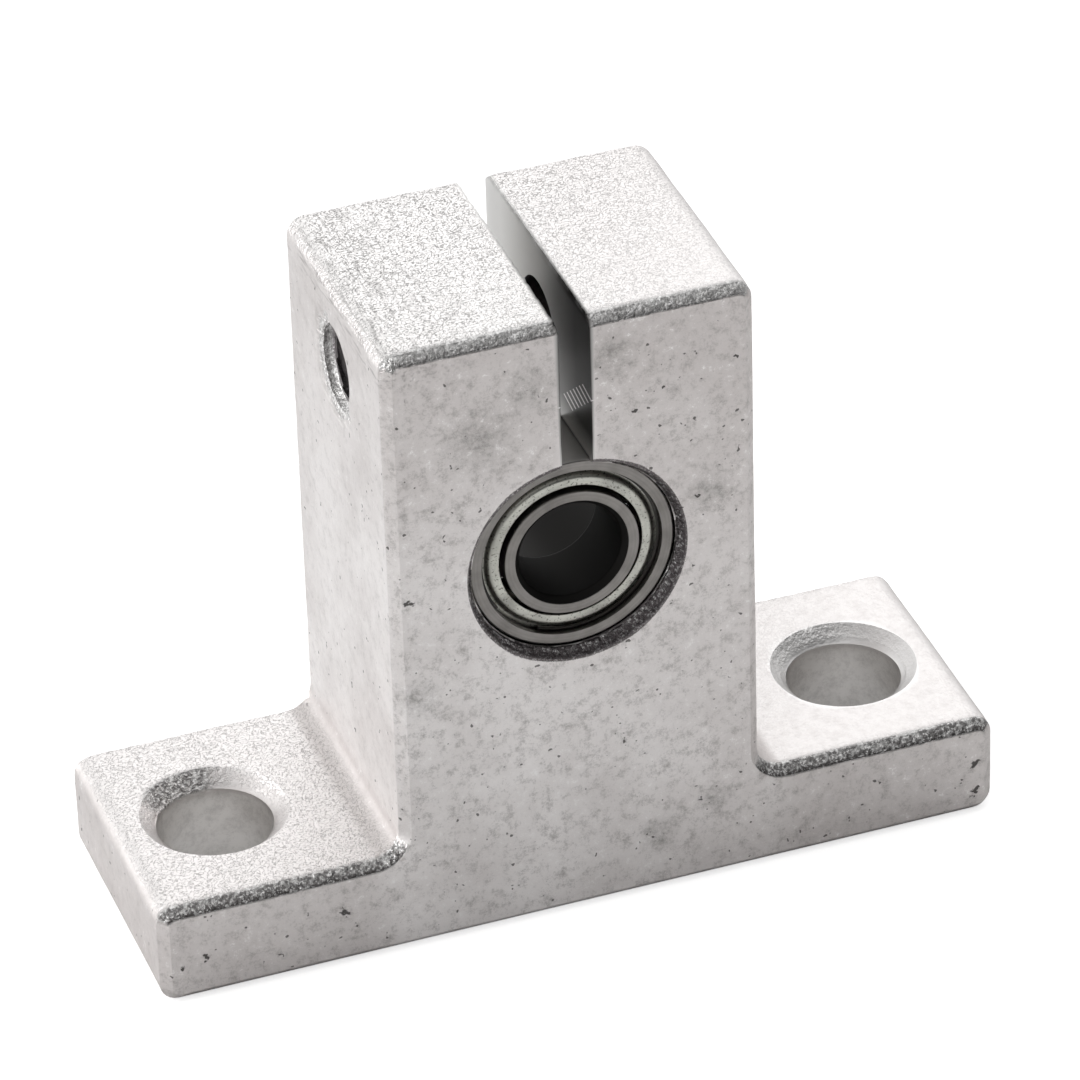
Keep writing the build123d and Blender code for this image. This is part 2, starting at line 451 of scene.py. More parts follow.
def open_block(points, keep, centre, cells, axes):
    """Take out the cells round a hole's centre; return their rim, sorted by angle."""
    distance = np.linalg.norm(points - centre, axis=-1)
    i, j = np.unravel_index(distance.argmin(), distance.shape)
    i0, j0 = i - cells // 2, j - cells // 2
    i1, j1 = i0 + cells, j0 + cells
    keep[i0:i1, j0:j1] = False
    rim = np.concatenate([points[i0:i1, j0], points[i1, j0:j1], points[i1:i0:-1, j1], points[i0, j1:j0:-1]])
    angle = np.arctan2((rim - centre) @ axes[1], (rim - centre) @ axes[0])
    order = angle.argsort()
    return rim[order], angle[order]


def hole(skin, near, far, start, end, axes, radii, step):
    """Draw two blocks' rims in to circles of radii(length, angle), and run a tube between them."""
    length = np.linalg.norm(end - start)
    along = (end - start) / length
    s = np.linspace(0, length, int(round(length / step)) + 1)
    gone = s / length
    angle = near[1][:, None] * (1 - gone) + far[1][:, None] * gone
    r = radii(s[None, :], angle)
    ray = np.cos(angle)[..., None] * axes[0] + np.sin(angle)[..., None] * axes[1]
    tube = start + s[None, :, None] * along + r[..., None] * ray
    skin.grid(tube, closed=True)
    t = np.linspace(0, 1, RING_ROWS + 1)[None, :, None]
    for rim, circle in ((near[0], tube[:, 0]), (far[0], tube[:, -1])):
        skin.grid(rim[:, None, :] + t * (circle - rim)[:, None, :], closed=True)


# %% [markdown]
# An M4 thread climbs 0.7 mm a turn, and its crests stay at the size of the drill. The countersink and
# the tap both take metal away, so wherever they meet the larger radius wins.

# %% Radii of the three kinds of hole
THREAD_PITCH = 0.7
THREAD_RADIUS = 2.0
GROOVE_LEVEL, GROOVE_SLOPE = 1.25, 2.5
TUBE_STEP = 0.25
THREAD_STEP = THREAD_PITCH / 8


def countersunk(radius, near_mouth, far_mouth, length):
    """Radius at s: the drill's, or a 90 degree mouth's at either end."""
    return lambda s, a: np.maximum(radius, np.maximum(near_mouth - s, far_mouth - (length - s))) + 0 * a


def threaded(mouth, length):
    """Radius at s and a: the mouths', or the groove's, level - slope |frac(s / pitch - a / 2 pi) - 1/2|."""
    plain = countersunk(TAPPING_RADIUS, mouth, mouth, length)

    def radii(s, a):
        turn = (s / THREAD_PITCH - a / (2 * np.pi)) % 1
        groove = np.clip(GROOVE_LEVEL - GROOVE_SLOPE * np.abs(turn - 0.5), 0, 1)
        return np.maximum(plain(s, a), TAPPING_RADIUS + groove * (THREAD_RADIUS - TAPPING_RADIUS))

    return radii


# %% [markdown]
# Now the holes are let in, and all the grids are gathered and welded into one closed skin.

# %% Gather the surface
X, Y, Z = np.eye(3)


def gather_casting():
    """All grids of the casting, as points in millimetres and cells."""
    skin = Skin()
    grids = {"wall": outer_wall(), "left": slit_wall(SLIT_LEFT, bore_rings[-1, :, 1]),
             "right": slit_wall(SLIT_RIGHT, bore_rings[0, :, 1])}
    kept = {name: np.ones((grid.shape[0] - 1, grid.shape[1] - 1), bool) for name, grid in grids.items()}

    def let_in(names, ends, cells, axes, radii, step):
        """Let one hole into the grids of those names, from end to end."""
        opened = [open_block(grids[name], kept[name], end, cells, axes) for name, end in zip(names, ends)]
        hole(skin, *opened, *np.array(ends, float), axes, radii, step)

    side = UPRIGHT_WIDTH / 2
    let_in(("wall", "left"), [(-side, 0, SCREW_HEIGHT), (SLIT_LEFT, 0, SCREW_HEIGHT)], CLAMP_CELLS, (Y, Z),
           threaded(TAPPED_MOUTH_RADIUS, SLIT_LEFT + side), THREAD_STEP)
    let_in(("right", "wall"), [(SLIT_RIGHT, 0, SCREW_HEIGHT), (side, 0, SCREW_HEIGHT)], CLAMP_CELLS, (Y, Z),
           countersunk(CLEARANCE_RADIUS, 0, CLEARANCE_MOUTH_RADIUS, side - SLIT_RIGHT), TUBE_STEP)
    for x in (-FIXING_SPACING / 2, FIXING_SPACING / 2):
        let_in(("wall", "wall"), [(x, 0, FOOT_THICKNESS), (x, 0, 0)], FIXING_CELLS, (X, Y),
               countersunk(FIXING_RADIUS, FIXING_MOUTH_RADIUS, 0, FOOT_THICKNESS), TUBE_STEP)
    for name, grid in grids.items():
        skin.grid(grid, kept[name])
    skin.grid(bore_wall())
    for face_y in (-half_depth, half_depth):
        for face in (foot_face(), upright_face()):
            skin.grid(xyz(face[..., 0], face_y, face[..., 1]))
    return np.concatenate(skin.points), np.concatenate(skin.cells)


def welded(name, points, cells, weld=0.002):
    """A mesh from points in millimetres, with doubles merged and faces turned outwards."""
    mesh = bpy.data.meshes.new(name)
    mesh.from_pydata(points * MM, [], cells)
    work = bmesh.new()
    work.from_mesh(mesh)
    bmesh.ops.remove_doubles(work, verts=work.verts, dist=weld * MM)
    bmesh.ops.recalc_face_normals(work, faces=work.faces)
    open_edges = sum(not e.is_manifold for e in work.edges)
    print(name, len(work.verts), "points", len(work.faces), "faces", open_edges, "open edges",
          "volume", round(work.calc_volume(signed=True) / MM ** 3, 1), "mm3")
    work.to_mesh(mesh)
    work.free()
    return mesh


casting_mesh = welded("casting", *gather_casting())

# %% [markdown]
# A sand-cast and shot-blasted surface waves a little, and its edges are crumbled. A bump texture would
# leave the edges' line straight against what lies behind, so the mesh itself is worked: every point is
# pushed into the metal by a smooth random field.

# %% Random fields on a lattice
LATTICE = 32
WAVE_DEPTH, WAVE_CELL = 0.03, 1.7
GRAIN_DEPTH, GRAIN_CELL = 0.014, 0.45
CRUMB_DEPTH, CRUMB_CELL = 0.12, 0.33


def random_field(points, cell, seed):
    """Values from 0 to 1: random numbers on a cubic lattice, blended by 3 t^2 - 2 t^3."""
    table = np.random.default_rng(seed).random((LATTICE,) * 3)
    whole = np.floor(points / cell).astype(int)
    t = points / cell - whole
    t = t * t * (3 - 2 * t)
    value = 0
    for corner in np.ndindex(2, 2, 2):
        weight = np.prod(np.where(corner, t, 1 - t), axis=1)
        i, j, k = ((whole + corner) % LATTICE).T
        value = value + weight * table[i, j, k]
    return value


def ramp(value, low, high):
    """0 below low, 1 above high, and 3 t^2 - 2 t^3 between."""
    t = np.clip((value - low) / (high - low), 0, 1)
    return t * t * (3 - 2 * t)


print("waves every", WAVE_CELL, "mm, grain every", GRAIN_CELL, "mm, crumbs every", CRUMB_CELL, "mm")

# %% [markdown]
# What a tool has cut stays true, so each point is measured from every cut first.

# %% Distances from the cuts
NEAR = 0.02
FAR = 10


def from_cuts(points):
    """Millimetres outside the bore, the saw cut, the screw's and the fixing holes."""
    x, y, z = points.T
    from_bore = np.hypot(x, z - BORE_HEIGHT) - BORE_RADIUS
    from_slit = np.maximum(SLIT_LEFT - x, x - SLIT_RIGHT) + FAR * (z < BORE_HEIGHT)
    from_screw = np.hypot(y, z - SCREW_HEIGHT) - np.where(x < 0, TAPPING_RADIUS, CLEARANCE_RADIUS)
    from_fixing = np.hypot(np.abs(x) - FIXING_SPACING / 2, y) - FIXING_RADIUS
    return from_bore, from_slit, from_screw, from_fixing


def on_mouth(points, from_bore, slack):
    """True on the bore's two mouths, taken wider by slack."""
    x, y, z = points.T
    width = mouth_width(np.arctan2(x, z - BORE_HEIGHT)) + slack
    return (from_bore > -NEAR) & (from_bore < width) & (np.abs(y) > half_depth - width)


# %% [markdown]
# The skin crumbles on the chamfers of the tops, more in front than behind, and where a tool came through
# it: at the bore's mouths, the top of the saw cut and the back of the countersinks. The left ear's
# corner is worn, and beside the tapped hole there is a dent.

# %% Where the skin crumbles
CRUMBLED_BEHIND, CRUMBLED_CORNER, CRUMBLED_DENT, CRUMBLED_CONES = 0.45, 0.42, 0.75, (0.9, 0.3)
ONTO_CHAMFER, CHAMFER_END, SPARED_AT_END = (-0.4, 0.05), (0.4, 0.5 + 1e-6), 0.8
CLEAR_OF_BORE, FACING_UP = (0.5, 0.9), (0.12, 0.5)
CORNER_SIDE, CORNER_LOW, CORNER_HIGH = 0.4, 1.1, 0.5
WEDGE_BACK, WEDGE_ACROSS, WEDGE_FADE = 0.94, -0.34, (0.62, 1.0)
SAWN_REACH, SAWN_FADE, SAWN_LOW, SAWN_HIGH = 0.22, 0.15, 0.25, 0.05
DENT_BACK, DENT_UP, DENT_FADE = 0.8, -0.6, (-0.5, 0.0)
DENT_NEAR, DENT_FAR, DENT_RIM, DENT_DEPTH = 0.05, 1.1, 0.25, 0.1


def crumbling(points, normals, cast, cone):
    """How far each point is crumbled, by its strongest cause, and how far it is dented."""
    x, y, z = points.T
    side = UPRIGHT_WIDTH / 2
    from_bore, from_slit, from_screw, from_fixing = from_cuts(points)
    into_edge = np.abs(y) - (half_depth - EDGE_CHAMFER)
    edges = ramp(into_edge, *ONTO_CHAMFER) * (1 - ramp(into_edge, *CHAMFER_END) * SPARED_AT_END)
    edges = edges * cast * ramp(from_bore, *CLEAR_OF_BORE) * ramp(normals[:, 2], *FACING_UP)
    corner = ramp(-x, side - OUTER_CORNER_RADIUS, side - CORNER_SIDE)
    corner = corner * ramp(z, BLOCK_HEIGHT - CORNER_LOW, BLOCK_HEIGHT - CORNER_HIGH)
    beside = (np.abs(x) - FIXING_SPACING / 2) * np.sign(x)
    wedge = ramp((WEDGE_BACK * y + WEDGE_ACROSS * beside) / (from_fixing + FIXING_RADIUS), *WEDGE_FADE)
    sawn = ramp(SAWN_REACH - from_slit, 0, SAWN_FADE)
    sawn = sawn * ramp(z, BLOCK_HEIGHT - SAWN_LOW, BLOCK_HEIGHT - SAWN_HIGH)
    way = (DENT_BACK * y + DENT_UP * (z - SCREW_HEIGHT)) / (from_screw + TAPPING_RADIUS)
    dent = (x < 1 - side) * (from_screw > DENT_NEAR) * ramp(DENT_FAR - from_screw, 0, DENT_RIM)
    dent = dent * ramp(way, *DENT_FADE)
    return np.maximum.reduce([
        edges * np.where(y < 0, 1, CRUMBLED_BEHIND), cone * wedge * np.where(x < 0, *CRUMBLED_CONES),
        on_mouth(points, from_bore, -NEAR), CRUMBLED_CORNER * corner, sawn, CRUMBLED_DENT * dent,
    ]), dent


print("crumbs up to", CRUMB_DEPTH, "mm deep and a dent of", DENT_DEPTH, "mm")

# %% [markdown]
# Each point keeps what it is as a row of masks, which tell the push here and the finish further down.

# %% Masks of the skin
TOUCHING = 0.01
SKIN_FADE = 0.3
BLASTED_UP = (0.5, 0.9)
CONE_DEPTH = 1
ON_BORE, ON_DRILLED, ON_THREAD = 0.03, 0.04, 0.38
THREAD_INSET, THREAD_BELOW = 0.5, 3
ROOT_REACH, ROOT_FADE = 0.2, (0.1, 0.6)


def skin_masks(points, normals):
    """For each point, from 0 to 1, how far it is of each kind of skin or cut."""
    x, y, z = points.T
    aside = np.abs(x) - UPRIGHT_WIDTH / 2
    cuts = from_bore, from_slit, from_screw, from_fixing = from_cuts(points)
    cast = ramp(np.minimum.reduce(cuts), NEAR, SKIN_FADE) * ramp(z, 0, SKIN_FADE)
    cone = (from_fixing > -TOUCHING) & (from_fixing < FIXING_MOUTH_RADIUS - FIXING_RADIUS + NEAR)
    cone = cone & (z > FOOT_THICKNESS - CONE_DEPTH)
    crumbled, dent = crumbling(points, normals, cast, cone)
    above_foot = z - FOOT_THICKNESS
    root = ramp(ROOT_FILLET_RADIUS + ROOT_REACH - np.maximum(aside, above_foot), *ROOT_FADE)
    masks = {
        "cast": cast,
        "crumbled": crumbled,
        "dent": dent,
        "blasted": ramp(normals[:, 2], *BLASTED_UP) * cast,
        "sawn": (from_slit < NEAR) & (from_bore > NEAR),
        "bored": (np.abs(from_bore) < ON_BORE) & (np.abs(y) < half_depth - EDGE_CHAMFER + NEAR),
        "mouth": on_mouth(points, from_bore, NEAR),
        "countersunk": cone,
        "drilled": (from_fixing < ON_DRILLED) & (above_foot < -NEAR),
        "tapped": (from_screw < ON_THREAD) & (aside < -THREAD_INSET) & (from_slit > NEAR)
        & (z > SCREW_HEIGHT - THREAD_BELOW),
        "root": root * (aside > -TOUCHING) * (above_foot > -TOUCHING),
    }
    return {name: np.asarray(values, float) for name, values in masks.items()}


print("skin fades in over", SKIN_FADE, "mm beside a cut")

# %% [markdown]
# Now the mesh is worked: waves and a fine grain on the cast skin, and crumbs where it is broken.

# %% Work the skin
CASTING_SHARP = 32


def smoothed(mesh, angle):
    """Shade the mesh smooth, but for edges sharper than angle in degrees."""
    mesh.polygons.foreach_set("use_smooth", np.ones(len(mesh.polygons), bool))
    mesh.set_sharp_from_angle(angle=np.radians(angle))
    mesh.update()


def work_skin(mesh):
    """Push each point inwards by cast x (waves + grain) + crumbled x crumbs + dent."""
    points = np.empty(len(mesh.vertices) * 3)
    mesh.vertices.foreach_get("co", points)
    points = points.reshape(-1, 3) / MM
    normals = np.empty(len(mesh.vertices) * 3)
    mesh.vertex_normals.foreach_get("vector", normals)
    normals = normals.reshape(-1, 3)
    masks = skin_masks(points, normals)
    waves, grain = random_field(points, WAVE_CELL, 1), random_field(points, GRAIN_CELL, 2)
    push = masks["cast"] * (WAVE_DEPTH * waves + GRAIN_DEPTH * grain)
    push = push + masks["crumbled"] * CRUMB_DEPTH * random_field(points, CRUMB_CELL, 3)
    push = push + masks["dent"] * DENT_DEPTH
    mesh.vertices.foreach_set("co", ((points - push[:, None] * normals) * MM).ravel())
    for name, values in masks.items():
        mesh.attributes.new(name, "FLOAT", "POINT").data.foreach_set("value", values.astype(np.float32))
    smoothed(mesh, CASTING_SHARP)
    print("pushed in by up to", round(float(push.max()), 3), "mm")


work_skin(casting_mesh)
casting = placed("casting", casting_mesh)
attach(casting, "housing")
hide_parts("support_block")

# %% [markdown]
# The bearing's pieces are turned, so each is a closed profile carried round the bore's axis. Every
# corner is rounded a little, to catch the thin line of light that tells polished steel from plastic.

# %% Turning a rounded profile
TURN_STEPS = 180
ROUNDING_STEPS = 4
TURNED_WELD = 0.0005
RING_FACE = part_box("outer_ring")[0][1] / MM
RING_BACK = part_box("outer_ring")[1][1] / MM
BEARING_WIDTH = RING_BACK - RING_FACE


def rounded(corners):
    """A closed profile from (radius, depth, rounding) corners.

    Each corner becomes the curve (1-u)^2 start + 2u(1-u) corner + u^2 end."""
    corners = np.array(corners, float)
    point, size = corners[:, :2], corners[:, 2:]
    back, ahead = np.roll(point, 1, 0) - point, np.roll(point, -1, 0) - point
    start = point + size * back / np.linalg.norm(back, axis=1, keepdims=True)
    end = point + size * ahead / np.linalg.norm(ahead, axis=1, keepdims=True)
    u = np.linspace(0, 1, ROUNDING_STEPS + 1)[None, :, None]
    curve = (1 - u) ** 2 * start[:, None] + 2 * u * (1 - u) * point[:, None] + u ** 2 * end[:, None]
    curve = curve.reshape(-1, 2)
    return curve[np.linalg.norm(curve - np.roll(curve, 1, 0), axis=1) > 1e-6]


def turned(name, profile, face, into, first=0.0, sweep=360.0):
    """Carry the profile round: (r sin a, face + into x depth, height + r cos a), with caps if it is open."""
    whole = sweep == 360.0
    a = np.radians(first + sweep * np.arange(TURN_STEPS + (not whole)) / TURN_STEPS)[:, None]
    r, depth_in = np.concatenate([profile, profile[:1]]).T
    grid = xyz(r * np.sin(a), face + into * depth_in, BORE_HEIGHT + r * np.cos(a))
    skin = Skin()
    skin.grid(grid, closed=whole)
    if not whole:
        half = len(profile) // 2
        for end in (grid[0], grid[-1]):
            skin.grid(np.stack([end[:half], end[::-1][1:half + 1]], 1))
    return welded(name, np.concatenate(skin.points), np.concatenate(skin.cells), TURNED_WELD)


print("bearing from", round(RING_FACE, 2), "to", round(RING_BACK, 2), "mm")

# %% [markdown]
# Each ring has a race in its middle, an arc a little wider than a ball. A recess behind a lip at each
# face of the outer ring holds the snap ring and the shield's rim.

# %% Profiles of the rings
RACE_RADIUS = 0.624
RACE_POINTS = 15
RACE_CENTRE_OUTER, RACE_CENTRE_INNER = 3.741, 3.759
RING_RADIUS, RING_CHAMFER = 5.0, 0.07
RING_LIP, RING_RECESS, RING_LAND = 4.42, 4.5, 4.2
LIP_DEPTH, RECESS_DEPTH = 0.29, 0.64
INNER_LAND, INNER_BORE, INNER_CHAMFER = 3.3, 2.5, 0.3
INNER_MOUTH = INNER_BORE + INNER_CHAMFER


def race(centre, land, outward):
    """The race's arc between the land's edges: (centre + outward R cos p, middle + R sin p)."""
    reach = np.arccos(abs(land - centre) / RACE_RADIUS)
    return [(centre + outward * RACE_RADIUS * np.cos(p), BEARING_WIDTH / 2 + RACE_RADIUS * np.sin(p), 0)
            for p in np.linspace(-reach, reach, RACE_POINTS)]


def ring(near, arc):
    """A ring's profile: its near side, its race, and its far side, which is the same at width - depth."""
    return rounded(near + arc + [(r, BEARING_WIDTH - depth, size) for r, depth, size in reversed(near)])


outer_profile = ring([
    (RING_RADIUS, RING_CHAMFER, 0.04), (RING_RADIUS - RING_CHAMFER, 0, 0.05), (RING_LIP, 0, 0.03),
    (RING_LIP, LIP_DEPTH, 0.02), (RING_RECESS, LIP_DEPTH, 0.02), (RING_RECESS, RECESS_DEPTH, 0.02),
    (RING_LAND, RECESS_DEPTH, 0.03),
], race(RACE_CENTRE_OUTER, RING_LAND, 1))
inner_profile = ring([
    (INNER_BORE, INNER_CHAMFER, 0.08), (INNER_MOUTH, 0, 0.05), (INNER_LAND, 0, 0.06),
], race(RACE_CENTRE_INNER, INNER_LAND, -1))
print("profiles of", len(outer_profile), "and", len(inner_profile), "points")

# %% [markdown]
# Each shield is pressed from thin sheet, with its flange low under the snap ring, its flat higher beside
# the inner ring, and an S between the two. The snap ring is a flat spring.

# %% Profiles of the shield and the snap ring
SHIELD_HOLE, SHIELD_FACE, SHIELD_STEP, SHIELD_RIM = 3.5, 3.98, 4.15, 4.4
SHIELD_HIGH, SHIELD_LOW, SHEET = 0.2, 0.51, 0.12
SNAP_INSIDE, SNAP_OUTSIDE, SNAP_HIGH, SNAP_LOW, SNAP_ROUNDING = 4.27, 4.49, 0.3, 0.5, 0.05
shield_profile = rounded([
    (SHIELD_HOLE, SHIELD_HIGH, 0.05), (SHIELD_FACE - 0.01, SHIELD_HIGH, 0.16), (SHIELD_STEP, SHIELD_LOW, 0.11),
    (SHIELD_RIM, SHIELD_LOW, 0.04), (SHIELD_RIM, SHIELD_LOW + SHEET, 0.03),
    (SHIELD_STEP - SHEET, SHIELD_LOW + SHEET, 0.12), (SHIELD_FACE - SHEET, SHIELD_HIGH + SHEET, 0.1),
    (SHIELD_HOLE, SHIELD_HIGH + SHEET, 0.04),
])
snap_profile = rounded([(r, depth, SNAP_ROUNDING) for r, depth in (
    (SNAP_INSIDE, SNAP_HIGH), (SNAP_OUTSIDE, SNAP_HIGH), (SNAP_OUTSIDE, SNAP_LOW), (SNAP_INSIDE, SNAP_LOW))])
print("profiles of", len(shield_profile), "and", len(snap_profile), "points")

# %% [markdown]
# The rear pieces are those of the front looking the other way, but each snap ring's gap opens to its own
# side.

# %% Turn the pieces
SNAP_GAP = 34.0
FRONT_GAP_AT, REAR_GAP_AT = 220.0, -40.0


def snap_turn(gap_at):
    """Where a snap ring's sweep begins and how far it goes, for a gap round gap_at."""
    return gap_at + SNAP_GAP / 2, 360.0 - SNAP_GAP


turned_pieces = {
    "outer_ring": turned("turned_outer_ring", outer_profile, RING_FACE, 1),
    "inner_ring": turned("turned_inner_ring", inner_profile, RING_FACE, 1),
    "front_shield": turned("pressed_front_shield", shield_profile, RING_FACE, 1),
    "rear_shield": turned("pressed_rear_shield", shield_profile, RING_BACK, -1),
    "front_snap_ring": turned("bent_front_snap_ring", snap_profile, RING_FACE, 1, *snap_turn(FRONT_GAP_AT)),
    "rear_snap_ring": turned("bent_rear_snap_ring", snap_profile, RING_BACK, -1, *snap_turn(REAR_GAP_AT)),
}

# %% [markdown]
# Next come the finishes. The casting's front has grey clouds from the mould and small dark pits. Its
# tops are blasted so evenly that they glitter, with a fine net of wrinkles. A cellular pattern would
# draw that net like dried mud, so it is drawn as the contour lines of smooth noise.

# %% Colours of the casting
ALUMINIUM = "ebe8e7"
# blasted white, used only as painted light on the left ear's top, the right foot's front and the right
# countersink
BLASTED_PAINTED_LIGHT = "f5f4f3"
LIGHT_FLECK = "f6f5f4"
# grey of the mould's clouds, also used as painted shade in the root fillets and for darker gradients
MOULD_CLOUD_AND_SHADE = "c0bab8"
MOULD_SMUDGE = "8f8b89"
MOULD_STAIN = "7d7b78"
PIT = "3f3c3b"
WRINKLE = "63605f"
BROKEN_SKIN = "3a3736"
# painted glints and highlights on broken skin
PAINTED_GLINT = "f2f1f0"
SAWN = "f2f1ef"
# painted shade in the saw cut, darkest at the front
SAWN_IN_PAINTED_SHADE = "3d3b3a"
# oil and painted shade in the bore
SEAT_OIL_AND_SHADE = "161514"
DRILLED = "f2f0ee"
# cut metal darkened as painted shade inside the tapped hole
TAPPED_IN_PAINTED_SHADE = "8b8788"
# grime and painted shade at the bore's mouths
MOUTH_GRIME_AND_SHADE = "565152"
print("clean metal is", round(float(linear(ALUMINIUM)[0]), 2))

# %% [markdown]
# A finish is clean metal with one stain after another over it, and some of these are painted light and
# painted shade. A stain has a value that tells where it lies, and masks that keep it to its part of the block.

# %% Stains over a colour
def in_millimetres(tree):
    """The point's place in the block's own frame, in millimetres."""
    place = add(tree, "TexCoord").outputs["Object"]
    return add(tree, "VectorMath", {0: place, "Scale": 1 / MM}, operation="SCALE")


def share(tree, value, begins, full, most, *kept_to):
    """A stain's share: 0 where value is begins, most where it is full, times each mask it is kept to."""
    part = add(tree, "MapRange", {"Value": value, "From Min": begins, "From Max": full, "To Max": most})
    for mask in kept_to:
        part = add(tree, "Math", {0: part, 1: mask}, operation="MULTIPLY")
    return part


def mixed_over(tree, colour, stain, *told_by):
    """The colour under a stain or a painted light: colour + share x (stain - colour)."""
    mix = {0: share(tree, *told_by), 6: colour, 7: linear(stain)}
    return add(tree, "Mix", mix, data_type="RGBA")


# %% [markdown]
# The saw left a few scratches inside the cut, painted bright as glints. Of two slanted coordinates, one
# counts along the row of scratches and the other runs along each scratch.

# %% Scratches in the saw cut
SCRATCH_CENTRE = (SLIT_RIGHT, -5.05, 27.4)
SCRATCH_ACROSS, SCRATCH_ALONG = (0, -0.25, 1.29), (0, -0.82, -1.026)
SCRATCH_SPACING, SCRATCH_WIDTH = 0.55, 0.3
HALF_ROW, HALF_LENGTH = 1.9, 0.6


def scratches(tree, place):
    """1 on a scratch, where the row's fraction is small and both coordinates lie within the patch."""
    offset = add(tree, "VectorMath", {0: place, 1: SCRATCH_CENTRE}, operation="SUBTRACT")
    row = add(tree, "VectorMath", {0: offset, 1: SCRATCH_ACROSS}, operation="DOT_PRODUCT")
    along = add(tree, "VectorMath", {0: offset, 1: SCRATCH_ALONG}, operation="DOT_PRODUCT")
    phase = add(tree, "Math", {0: row, 1: SCRATCH_SPACING}, operation="DIVIDE")
    phase = add(tree, "Math", {0: phase}, operation="FRACT")
    line = add(tree, "Math", {0: phase, 1: SCRATCH_WIDTH}, operation="LESS_THAN")
    for value, reach in ((row, HALF_ROW), (along, HALF_LENGTH)):
        inside = add(tree, "Math", {0: value, 1: 0.0, 2: reach}, operation="COMPARE")
        line = add(tree, "Math", {0: line, 1: inside}, operation="MULTIPLY")
    return line


print("scratches", SCRATCH_SPACING, "mm apart")

# %% [markdown]
# The mould left larger stains and pits on the front. Each is a soft spot in x and z; noise bends the
# coordinates first, so that no spot comes out round.

# %% Stains and pits of the front
STAIN_SPOTS = [(-2.0, 29.7, 1.7), (1.9, 30.6, 1.6), (-4.4, 27.6, 2.4), (-7.8, 14.1, 1.3), (6.6, 22.1, 1.4),
               (3.8, 3.2, 1.2), (6.6, 4.5, 1.0)]
PIT_SPOTS = [(-12.0, 3.0, 0.34), (-18.8, 2.2, 0.24), (-20.0, 1.9, 0.2), (8.0, 29.0, 0.22), (4.5, 28.2, 0.2),
             (3.1, 27.3, 0.27), (6.1, 22.0, 0.2), (20.0, 2.9, 0.34), (20.0, 1.3, 0.3), (-8.2, 19.5, 0.3),
             (-7.1, 19.0, 0.16)]
BEND_CELL, BEND_REACH = 0.7, 1.2


def bent_place(tree, place):
    """The place moved by noise: place + reach (noise - 1/2), with y set to 0."""
    bend = {"Vector": place, "Scale": 1 / BEND_CELL, "Detail": 3.0, "Roughness": 0.7}
    bend = add(tree, "TexNoise", bend).outputs["Color"]
    bent = add(tree, "VectorMath", {0: bend, 1: (BEND_REACH,) * 3, 2: place}, operation="MULTIPLY_ADD")
    centred = add(tree, "VectorMath", {0: bent, 1: (BEND_REACH / 2,) * 3}, operation="SUBTRACT")
    return add(tree, "VectorMath", {0: centred, 1: (1, 0, 1)}, operation="MULTIPLY")


def spots(tree, bent, places):
    """1 at the middle of each spot, 0 at its radius: the largest of 1 - distance / radius."""
    level = 0.0
    for x, z, radius in places:
        distance = add(tree, "VectorMath", {0: bent, 1: (x, 0, z)}, operation="DISTANCE")
        near = add(tree, "Math", {0: distance, 1: -1 / radius, 2: 1.0}, operation="MULTIPLY_ADD")
        level = add(tree, "Math", {0: level, 1: near}, operation="MAXIMUM")
    return level


print(len(STAIN_SPOTS), "stains and", len(PIT_SPOTS), "pits")

# %% [markdown]
# The values that tell the stains have names: masks, noises, and what is worked out from those.

# %% Values that tell the stains
MASKS = ("cast", "crumbled", "blasted", "sawn", "bored", "mouth", "countersunk", "drilled", "tapped", "root")
TO_RIGHT, STREAK_DRAWN, STREAK_CELL = (1, -0.6, 0), (1, 0.12, 1), 0.2
FLECKED_IN_FRONT, FLECKED = 0.6, 0.4
NOISES = {  # size in mm, detail and roughness
    "cloud": (4.5, 3.0, 0.6), "fleck": (0.65, 6.0, 0.85), "speck": (0.34, 1.0, 0.5),
    "worm": (0.21, 1.5, 0.6), "grit": (0.17, 4.0, 0.8),
}
SHARES = {  # the value, where its share begins and is full, the most it can be, and what it is kept to
    "front": ("y", -6.4, -6.6, 1.0, "upright"),
    "leftwards": ("to_right", 17, -5, 1.0),
    "wrinkle": ("off_contour", 0.045, 0.0, 1.0, "blasted", "leftwards"),
    "crumbling": ("crumbled", 0.0, 0.8, 1.0),
    "broken": ("ragged_edge", 1.2, 1.4, 1.0, "crumbling"),
    "shallow": ("y", -6.9, -6.5, 1.0, "broken"),
    # painted shade with grime at the bore's mouths
    "grimed_and_shaded": ("ragged_mouth", 0.86, 0.98, 0.95),
    "on_ear": ("z", 6, 10, 1.0),
    "right_foot": ("x", 9.5, 10.5, 1.0),
    "at_top": ("z", 31, 31.5, 1.0),
    "top_left": ("x", -4, -8, 1.0, "at_top"),
    "mottled": ("fleck", 0.3, 0.6, 1.0),
}
WORKED_OUT = {  # an operation and its terms, which are numbers or values
    "upright": ("SUBTRACT", 1.0, "blasted"),
    "aside": ("ABSOLUTE", "x"),
    "contour": ("SUBTRACT", "worm", 0.5),
    "off_contour": ("ABSOLUTE", "contour"),
    "ragged_edge": ("MULTIPLY_ADD", "grit", 1.6, "crumbled"),
    "ragged_mouth": ("MULTIPLY_ADD", "grit", 0.8, "mouth"),
}


